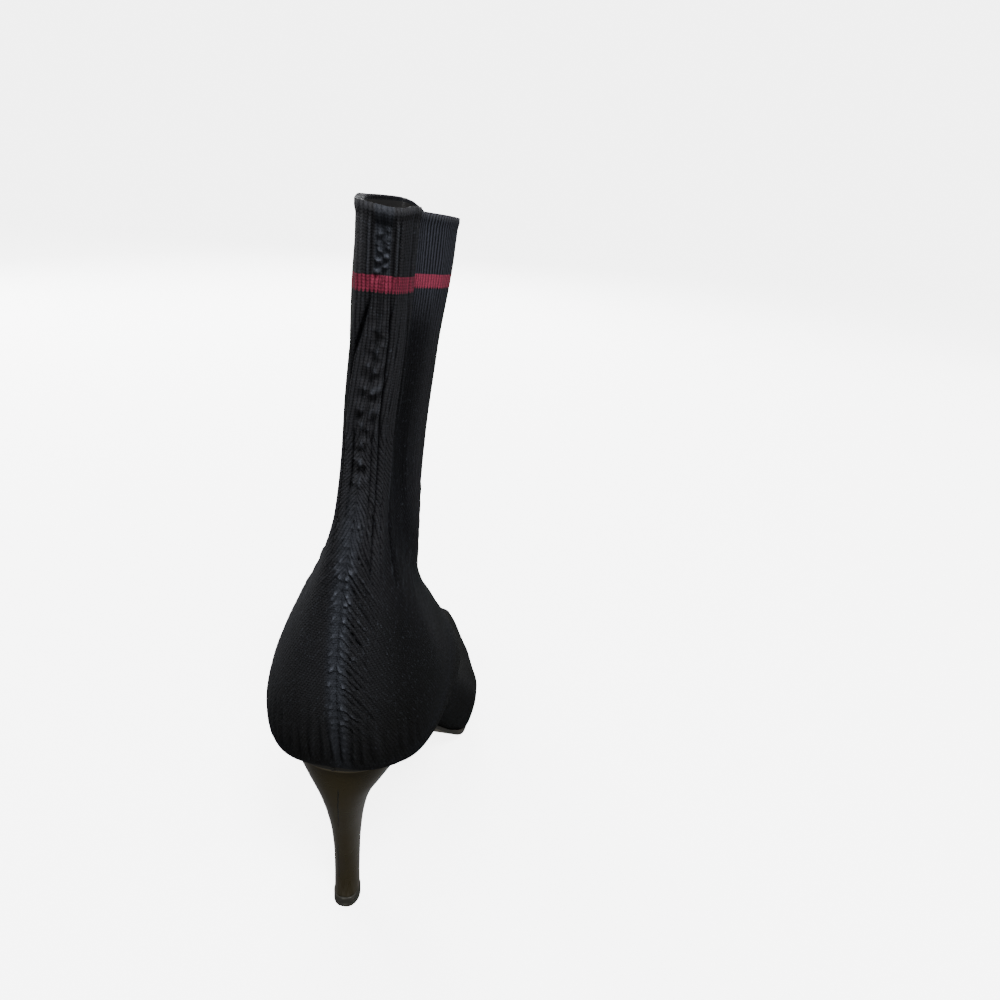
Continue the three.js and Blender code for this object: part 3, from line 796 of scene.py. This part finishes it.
HEEL_COLUMNS, HEEL_RINGS = 72, 110
FOOT_TAPER = 0.94  # the heel's lowest ring, a little drawn in
heel_rows = [heel_section(r) for r in HEEL_ROWS]
heel_rings = np.array([even_ring(table_row(heel_rows, p), HEEL_COLUMNS)
                       for p in np.linspace(len(heel_rows) - 1, 0, HEEL_RINGS)])
for j in range(HEEL_COLUMNS):
    column = heel_rings[:, j]
    for i in range(1, len(column)):
        above = column[i, 2] - sole_above(column[i, 1])
        if above > 0:
            before = column[i - 1, 2] - sole_above(column[i - 1, 1])
            share = before / (before - above) if before < 0 else 0
            column[i:] = mix(column[i - 1], column[i], share)
            break
heel_rings[0][:, :2] *= FOOT_TAPER
heel_faces = grid_faces(HEEL_RINGS, HEEL_COLUMNS)
heel_faces.append(tuple(range(HEEL_COLUMNS)))
top_centre = np.mean(heel_rings[-1], axis=0)
top_centre[2] = sole_above(top_centre[1])
heel_points = np.vstack([heel_rings.reshape(-1, 3), [top_centre]])
first = (HEEL_RINGS - 1) * HEEL_COLUMNS
for j in range(HEEL_COLUMNS):
    heel_faces.append((first + j, first + (j + 1) % HEEL_COLUMNS, len(heel_points) - 1))
heel_below = sole_above(heel_points[:, 1]) - heel_points[:, 2]
heel = faced_out(mesh_of("heel_lacquer", heel_points, heel_faces, {"below": heel_below}))

# Top piece: height and how far each ring is drawn in
TIP_COLUMNS = 64
TIP_EDGE = 0.5
TIP_PROFILE = [(0, TIP_EDGE), (0.15, 0.15), (TIP_EDGE, 0), (1.6, 0), (3, 0), (4.6, 0),
               (TOP_PIECE_HEIGHT - 0.3, 0), (TOP_PIECE_HEIGHT, 0.3)]
tip_row = heel_section(HEEL_ROWS[-1], TOP_PIECE_FLARE)
tip_rings = []
for height, inset in TIP_PROFILE:
    points = even_ring(tip_row, TIP_COLUMNS, inset)
    points[:, 2] = height
    tip_rings.append(points)
tip = faced_out(mesh_of("heel_tip", tip_rings, capped_faces(len(TIP_PROFILE), TIP_COLUMNS)))

# Materials


def shade(red, green, blue):
    """Linear colour of a screen colour."""
    parts = [c / 255 for c in (red, green, blue)]
    return tuple(c / 12.92 if c <= 0.04045 else ((c + 0.055) / 1.055) ** 2.4 for c in parts) + (1.0,)


class Paint:
    """One node material, built from small steps. Its colour is laid on in coats."""

    def __init__(self, name, **settings):
        self.material = bpy.data.materials.new(name)
        self.material.use_nodes = True
        self.tree = self.material.node_tree
        self.shader = self.tree.nodes["Principled BSDF"]
        for key, value in settings.items():
            self.shader.inputs[key.replace("_", " ")].default_value = value
        self.place = self.tree.nodes.new("ShaderNodeTexCoord").outputs["Object"]
        self.colour = None

    def put(self, socket, value):
        if hasattr(value, "is_output") and value.is_output:
            self.tree.links.new(value, socket)
        else:
            socket.default_value = value

    def node(self, kind, inputs, **settings):
        """Outputs of a new node. Its inputs are given by number or name."""
        made = self.tree.nodes.new("ShaderNode" + kind)
        for key, value in settings.items():
            setattr(made, key, value)
        for key, value in inputs.items():
            self.put(made.inputs[key], value)
        return made.outputs

    def math(self, operation, *values):
        return self.node("Math", dict(enumerate(values)), operation=operation)[0]

    def times(self, first, *others):
        for other in others:
            first = self.math("MULTIPLY", first, other)
        return first

    def plus(self, one, other):
        return self.math("ADD", one, other)

    def minus(self, one, other):
        return self.math("SUBTRACT", one, other)

    def most(self, one, other):
        return self.math("MAXIMUM", one, other)

    def size(self, value):
        return self.math("ABSOLUTE", value)

    def humps(self, turns):
        """Rounded humps from 0 to 1, one for each whole turn."""
        return self.size(self.math("SINE", self.times(turns, math.pi)))

    def step(self, *values):
        """Smooth step of a value between two bounds, from 0 to 1 or between two results."""
        return self.node("MapRange", dict(enumerate(values)), interpolation_type="SMOOTHSTEP")[0]

    def fact(self, name):
        return self.node("Attribute", {}, attribute_name=name)["Fac"]

    def vector(self, x, y, z):
        return self.node("CombineXYZ", {0: x, 1: y, 2: z})[0]

    def parts(self, vector):
        """The x, y and z of a vector."""
        return tuple(self.node("SeparateXYZ", {0: vector}))

    def stretch(self, vector, x, y, z):
        return self.node("VectorMath", {0: vector, 1: (x, y, z)}, operation="MULTIPLY")[0]

    def noise(self, vector, scale, detail=3.0, roughness=0.55):
        return self.node("TexNoise", {"Vector": vector, "Scale": scale, "Detail": detail,
                                      "Roughness": roughness})[0]

    def cracks(self, vector, scale):
        return self.node("TexVoronoi", {"Vector": vector, "Scale": scale},
                         feature="DISTANCE_TO_EDGE")[0]

    def mix(self, share, low, high):
        return self.node("Mix", {0: share, 6: low, 7: high}, data_type="RGBA")[2]

    def lay(self, tint, *shares):
        """Lays a colour over the present one by the product of some shares."""
        self.colour = self.mix(self.times(*shares), self.colour, tint)

    def bump(self, height, distance, strength=1.0, under=None):
        inputs = {"Height": height, "Distance": distance * MM, "Strength": strength}
        if under is not None:
            inputs["Normal"] = under
        return self.node("Bump", inputs)[0]

    def finish(self, roughness, normal):
        self.put(self.shader.inputs["Base Color"], self.colour)
        self.put(self.shader.inputs["Roughness"], roughness)
        self.put(self.shader.inputs["Normal"], normal)
        return self.material


RIB_PITCH = 1.28
COURSE_PITCH = 0.95  # stitches along a rib
RUNG_PITCH = 1.9


def knit_facts(p):
    """Where a point lies on the knit, and the unevenness that its looks share."""
    k = SimpleNamespace(**{name: p.fact(name) for name in KNIT_FACTS})
    k.on_shaft = p.step(k.station, 10.2, 9.6)
    k.wobble = p.times(p.minus(p.noise(p.place, 140, 2), 0.5), 0.9)
    k.fibre = p.noise(p.place, 1900, 3, 0.65)
    # painted light: the front of the collar is painted the lightest
    k.lit = p.times(p.step(k.rib, 66, 44), p.step(k.down, 56, 16), k.on_shaft)
    return k


def knit_pattern(p, k):
    """Ribs with narrow grooves, wider at the front of the shaft, and stitches across them."""
    front = p.times(p.math("MINIMUM", k.rib, 46.0), p.step(k.down, 150, 100, 0.0, 0.26), k.on_shaft)
    turn = p.math("DIVIDE", p.plus(p.minus(k.rib, front), p.times(k.wobble, 0.4)), RIB_PITCH)
    k.wave = p.humps(turn)
    k.rib_top = p.math("POWER", k.wave, 0.6)
    cell = p.size(p.minus(p.math("FRACT", turn), 0.5))
    k.stitch = p.humps(p.plus(p.math("DIVIDE", k.down, COURSE_PITCH), p.times(cell, 0.9)))
    # ribs are drawn flat over the heel and foot
    flat = p.times(p.most(p.step(k.down, 105, 140), p.step(k.station, 10, 11)), 0.55)
    k.contrast = p.minus(1.0, flat)
    rib_tone = p.plus(p.times(k.rib_top, k.contrast), p.times(flat, 0.6))
    # painted light: the knit between the stripe and the ankle is painted paler
    slack = p.times(p.step(k.down, 26, 32), p.step(k.down, 128, 104), 0.45)
    # tone of ribs and stitches: painted shade in the grooves and between the stitches
    k.level = p.times(rib_tone, p.plus(0.72, p.times(k.stitch, 0.28)),
                      p.plus(0.55, p.times(k.fibre, 0.8)), p.plus(1.0, slack))


def lay_knit_zones(p, k):
    """Ribs in painted shade and highlight, painted light on the front of the collar, and painted shade
    on the hollow side of the shaft, the heel side, the inner side of the foot and towards the seat.
    """
    # painted shade in the rib grooves, painted highlight on the rib crests
    p.colour = p.mix(k.level, shade(3, 3, 4), shade(38, 38, 40))
    # painted light on the front of the collar: lighter rib lines, dark grooves
    line = p.times(p.step(k.wave, 0.45, 0.97), p.plus(0.6, p.times(k.fibre, 0.7)))
    p.lay(p.mix(line, shade(9, 9, 12), shade(58, 60, 68)), k.lit, 0.9)
    # painted shade on the hollow side of the shaft, between its lobes
    p.lay(shade(4, 4, 5), p.step(k.rib, 26, 44), p.step(k.rib, 90, 72), p.step(k.down, 26, 44),
          p.step(k.down, 150, 118), p.step(k.away, 12, 26), 0.85)
    # painted shade on the heel side, the inner side of the foot and towards the seat
    shaded_heel_side = p.times(p.step(k.away, 5, 30), p.step(k.down, 118, 150), 0.75)
    shaded_inner_foot = p.times(p.step(k.station, 11, 14), p.step(k.away, 0, 20, 0.0, 0.85))
    seat = p.step(k.down, 170, 200, 0.0, 0.45)
    p.lay(shade(8, 8, 8), p.most(shaded_heel_side, p.most(shaded_inner_foot, seat)))


def lay_knit_wear(p, k):
    """Painted highlight on the turned edge, a lighter patch on the outer side below the collar,
    flecks, painted highlight on the seam and ridges, painted shade in the troughs, and painted shade
    with a warm floor reflection towards the sole.
    """
    # painted highlight along the turned edge of the hem; a lighter patch on the outer side below the
    # collar
    outer_corner = p.times(p.step(k.away, -4, -7), p.step(k.away, -26, -16), p.step(k.down, 34, 10))
    turned_edge_highlight = p.step(k.down, 2.6, 1.2)
    p.lay(shade(66, 66, 68), p.most(turned_edge_highlight, outer_corner), k.on_shaft, k.fibre, 0.7)
    drawn_out = p.vector(p.times(k.rib, 1.3), p.times(k.down, 0.45), p.times(k.station, 0.3))
    p.lay(shade(72, 76, 84), p.step(p.noise(drawn_out, 1.4, 3, 0.7), 0.56, 0.72), 0.34)
    # painted highlight on the seam where it stands out
    off = p.size(k.away)
    wheat_ear = p.times(p.step(off, 5.5, 1.0), p.step(k.down, 84, 110))
    channel = p.times(p.step(off, 3.2, 2.2), p.step(k.down, 24, 18))
    p.lay(shade(62, 66, 74), p.most(wheat_ear, channel), 0.28)
    p.lay(shade(20, 20, 22), p.step(p.noise(p.place, 26), 0.45, 0.75), 0.35)
    # painted shade in the troughs of creases, pleats and the channel
    p.lay(shade(2, 2, 3), p.step(k.relief, -0.15, -1.3, 0.0, 0.92))
    # painted highlight on ridges and bumps
    p.lay(shade(84, 87, 95), p.step(k.relief, 0.25, 1.6, 0.0, 0.75),
          p.plus(0.1, p.times(k.fibre, 1.2)))
    # painted shade with a warm reflection of the floor, towards the sole and over the foot
    low = p.most(p.times(k.on_shaft, p.step(k.down, 150, 206)), p.step(k.station, 10, 12))
    p.lay(shade(14, 14, 11), low, 0.6)


def lay_rungs(p, k):
    """Short ribs across the inner side of the instep, painted light as highlights on their tops."""
    rungs = p.math("POWER", p.humps(p.math("DIVIDE", p.plus(k.down, k.wobble), RUNG_PITCH)), 2.0)
    p.lay(shade(66, 65, 60), p.step(k.rib, 1.5, 4), p.step(k.rib, 17, 11),
          p.step(k.station, 14.5, 15.5), p.step(k.station, 21, 19), rungs, p.step(k.away, 1, 4),
          k.fibre, 0.5)


def lay_stripe(p, k):
    """Crimson stripe with ribs in its lower edge."""
    fray = p.times(p.minus(k.fibre, 0.5), 0.5)
    edge = p.times(p.minus(k.rib_top, 0.6), 1.1)
    top = p.step(p.minus(p.plus(k.down, fray), STRIPE_TOP), -0.2, 0.2)
    bottom = p.step(p.minus(p.plus(p.minus(k.down, edge), fray), STRIPE_BOTTOM), 0.25, -0.25)
    # the stripe's ribs in painted shade and highlight, painted lighter at the front of the collar
    tone = p.times(k.level, p.plus(0.55, p.times(k.lit, 0.45)))
    p.lay(p.mix(tone, shade(50, 10, 20), shade(158, 64, 86)), top, bottom, k.on_shaft)


def knit_material():
    p = Paint("rib_knit", Sheen_Weight=0.01, Sheen_Roughness=0.4,
              Sheen_Tint=shade(170, 182, 205), Specular_IOR_Level=0.045)
    k = knit_facts(p)
    knit_pattern(p, k)
    lay_knit_zones(p, k)
    lay_knit_wear(p, k)
    lay_rungs(p, k)
    lay_stripe(p, k)
    p.lay(shade(12, 12, 13), k.inside, 0.7)
    stitches = p.times(k.stitch, p.minus(0.3, p.times(k.lit, 0.26)))
    coarse = p.bump(p.plus(p.times(k.rib_top, k.contrast, 0.8), stitches), 0.34, 0.9)
    return p.finish(p.plus(0.74, p.times(k.fibre, 0.2)), p.bump(k.fibre, 0.16, 0.7, coarse))


def lining_material():
    p = Paint("lining", Specular_IOR_Level=0.2)
    weave = p.noise(p.place, 900)
    p.colour = p.mix(weave, shade(14, 13, 13), shade(33, 31, 30))
    return p.finish(p.plus(0.75, p.times(weave, 0.2)), p.bump(weave, 0.15, 0.5))


def insole_material():
    p = Paint("insole_leather", Specular_IOR_Level=0.3)
    wear = p.noise(p.place, 60, 4)
    p.colour = p.mix(wear, shade(30, 27, 24), shade(52, 46, 40))
    return p.finish(p.plus(0.5, p.times(wear, 0.3)), p.bump(p.cracks(p.place, 700), 0.15, 0.4))


def hairline_crack(p, middle, lean, top, bottom, sway, thick):
    """Thin wandering line down the back of the heel between two heights, in metres."""
    side, y, height = p.parts(p.place)
    wander = p.times(p.minus(p.noise(p.stretch(p.place, 0, 0, 1), sway), 0.5), 0.0022)
    path = p.plus(p.plus(p.times(p.minus(height, top), lean), middle), wander)
    gap = p.size(p.minus(side, path))
    return p.times(p.step(gap, thick, thick * 0.3), p.step(height, top, top - 0.003),
                   p.step(height, bottom, bottom + 0.004), p.step(y, 0.002, -0.002))


def lacquer_material():
    p = Paint("heel_lacquer", Coat_Weight=0.08, Coat_Roughness=0.05, Specular_IOR_Level=0.1)
    place = p.place
    height = p.parts(place)[2]
    cloud = p.noise(place, 45, 4)
    reflection_and_wear_streaks = p.noise(p.stretch(place, 5, 5, 0.5), 160, 4, 0.6)
    p.colour = p.mix(cloud, shade(36, 30, 13), shade(46, 40, 22))
    # painted reflection: soft lighter vertical streaks
    p.lay(shade(56, 49, 33), p.step(reflection_and_wear_streaks, 0.55, 0.8), 0.3)
    hairlines = p.most(hairline_crack(p, 0.0024, 0.07, 0.088, 0.058, 150, 0.00034),
                       hairline_crack(p, -0.0012, 0.02, 0.046, 0.018, 190, 0.00026))
    p.lay(shade(6, 6, 4), hairlines, 0.9)
    # painted highlight along the top edge, where the lacquer meets the sole
    p.lay(shade(100, 93, 76), p.step(p.fact("below"), 1.7, 0.7), 0.75)
    # the foot of the heel is rubbed dull
    rubbed = p.times(p.step(height, 0.02, 0.004), p.step(reflection_and_wear_streaks, 0.4, 0.7))
    p.lay(shade(78, 74, 66), rubbed, 0.5)
    roughness = p.plus(0.2, p.times(p.plus(rubbed, p.times(cloud, 0.35)), 0.45))
    dents = p.bump(p.noise(place, 55, 2), 0.35, 0.5)
    split = p.bump(hairlines, -0.25, 0.8, dents)
    return p.finish(roughness, p.bump(p.noise(place, 420), 0.04, 0.5, split))


def tip_material():
    p = Paint("top_piece_rubber", Specular_IOR_Level=0.35)
    grit = p.noise(p.place, 900, 4, 0.7)
    scuff = p.step(p.noise(p.stretch(p.place, 1, 1, 3), 260, 4, 0.7), 0.5, 0.68)
    p.colour = p.mix(grit, shade(24, 23, 18), shade(44, 42, 34))
    p.lay(shade(96, 94, 86), scuff, 0.55)
    return p.finish(p.plus(0.45, p.times(grit, 0.4)),
                    p.bump(grit, 0.12, 0.7, p.bump(scuff, 0.1, 0.5)))


def outsole_material():
    p = Paint("outsole_leather", Specular_IOR_Level=0.4)
    place = p.place
    _, y, z = p.parts(place)
    grain = p.noise(place, 620, 4, 0.65)
    p.colour = p.mix(p.noise(place, 38, 4), shade(92, 80, 64), shade(122, 108, 88))
    # the edge is darker than the underside
    facing = p.parts(p.node("NewGeometry", {})["Normal"])
    p.lay(shade(24, 22, 16), p.step(facing[2], -0.8, -0.5))
    tread = p.times(p.step(z, 0.012, 0.003), p.step(y, 0.085, 0.11))
    dirt = p.times(tread, p.step(p.noise(place, 90, 5, 0.7), 0.38, 0.62))
    p.lay(shade(66, 60, 52), dirt, 0.7)
    scratch = p.step(p.noise(p.stretch(place, 9, 0.8, 0.8), 210, 3, 0.7), 0.6, 0.74)
    p.lay(shade(176, 164, 144), scratch, tread, 0.5)
    return p.finish(p.plus(0.42, p.times(p.plus(dirt, grain), 0.22)), p.bump(grain, 0.1, 0.5))


def dress(thing, material, node):
    """Gives a piece its material, slot and body, and hides the part's node that it stands in for."""
    thing.data.materials.clear()
    thing.data.materials.append(material)
    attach(thing, ROOT)
    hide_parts(node)


knit_cloth = knit_material()
dress(knit, knit_cloth, "upper")
dress(panel, knit_cloth, "upper")
dress(lining, lining_material(), "upper")
dress(outsole, outsole_material(), "outsole")
dress(heel, lacquer_material(), "heel")
dress(tip, tip_material(), "top_piece")
insole_leather = insole_material()
for material_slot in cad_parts["insole"].material_slots:
    material_slot.material = insole_leather

# Floor, light and camera


def floor_material():
    p = Paint("floor_white", Specular_IOR_Level=0.0, Emission_Strength=5.0,
              Emission_Color=(1, 1, 1, 1))
    speck = p.noise(p.place, 3, 2)
    p.colour = p.mix(speck, (0.9, 0.9, 0.9, 1), (0.93, 0.93, 0.93, 1))
    return p.finish(0.9, p.bump(speck, 0.1, 0.05))


# A level round floor that sweeps up into a wall far away on every side, in millimetres
FLAT_RADIUS, SWEEP_RADIUS, WALL_TOP = 3500, 2000, 9000
SWEEP_STEPS, SPOKES = 16, 64
profile = [(10, 0), (1500, 0)]
for bend in np.linspace(0, math.pi / 2, SWEEP_STEPS + 1):
    profile.append((FLAT_RADIUS + SWEEP_RADIUS * math.sin(bend), SWEEP_RADIUS * (1 - math.cos(bend))))
profile.append((FLAT_RADIUS + SWEEP_RADIUS, WALL_TOP))
spokes = [2 * math.pi * k / SPOKES for k in range(SPOKES)]
floor_points = [(r * math.cos(a), r * math.sin(a), z) for r, z in profile for a in spokes]
floor_faces = grid_faces(len(profile), SPOKES) + [tuple(range(SPOKES))]
floor = mesh_of("floor", floor_points, floor_faces)
floor.visible_diffuse = False
floor.visible_glossy = False
floor.visible_shadow = False
floor.data.materials.append(floor_material())

world = bpy.data.worlds.new("studio")
bpy.context.scene.world = world
world.use_nodes = True
world.node_tree.nodes["Background"].inputs["Color"].default_value = (1, 1, 1, 1)
world.node_tree.nodes["Background"].inputs["Strength"].default_value = 0.3


def softbox(name, place, target, size, power, colour=(1, 1, 1)):
    data = bpy.data.lights.new(name, "AREA")
    data.shape, data.size, data.energy, data.color = "DISK", size, power, colour
    lamp = bpy.data.objects.new(name, data)
    bpy.context.collection.objects.link(lamp)
    lamp.location = place
    lamp.rotation_euler = (Vector(target) - Vector(place)).to_track_quat("-Z", "Y").to_euler()


softbox("key_light", (0.3, -0.55, 1.3), (0, 0.03, 0.14), 0.35, 26, (0.96, 0.975, 1.0))
softbox("front_light", (-0.3, 1.5, 0.9), (0, 0.1, 0.1), 0.8, 34)
softbox("outer_light", (-1.2, 0.8, 0.6), (0, 0.08, 0.12), 0.8, 24)
softbox("inner_light", (1.2, 1.0, 0.6), (0, 0.08, 0.12), 0.8, 6)
softbox("fill_light", (0.3, -1.3, 0.5), (0, 0.05, 0.14), 0.9, 4)

CAMERA_AT = (68.9, -227.65, 320)  # mm
CAMERA_TURN, CAMERA_PITCH, CAMERA_ROLL = 4.0, 25.6, 5.5  # degrees
CAMERA_LENS = 27.0
turn, pitch, roll = (math.radians(a) for a in (CAMERA_TURN, CAMERA_PITCH, CAMERA_ROLL))
ahead = Vector((-math.sin(turn) * math.cos(pitch), math.cos(turn) * math.cos(pitch),
                -math.sin(pitch)))
level_right = ahead.cross(Vector((0, 0, 1))).normalized()
level_up = level_right.cross(ahead)
right = level_right * math.cos(roll) + level_up * math.sin(roll)
up = level_up * math.cos(roll) - level_right * math.sin(roll)
camera_data = bpy.data.cameras.new("camera")
camera_data.lens, camera_data.sensor_width = CAMERA_LENS, 36
camera_data.clip_start = 0.005
camera = bpy.data.objects.new("camera", camera_data)
bpy.context.collection.objects.link(camera)
pose = Matrix((right, up, -ahead)).transposed().to_4x4()
pose.translation = Vector(CAMERA_AT) * MM
camera.matrix_world = pose
bpy.context.scene.camera = camera
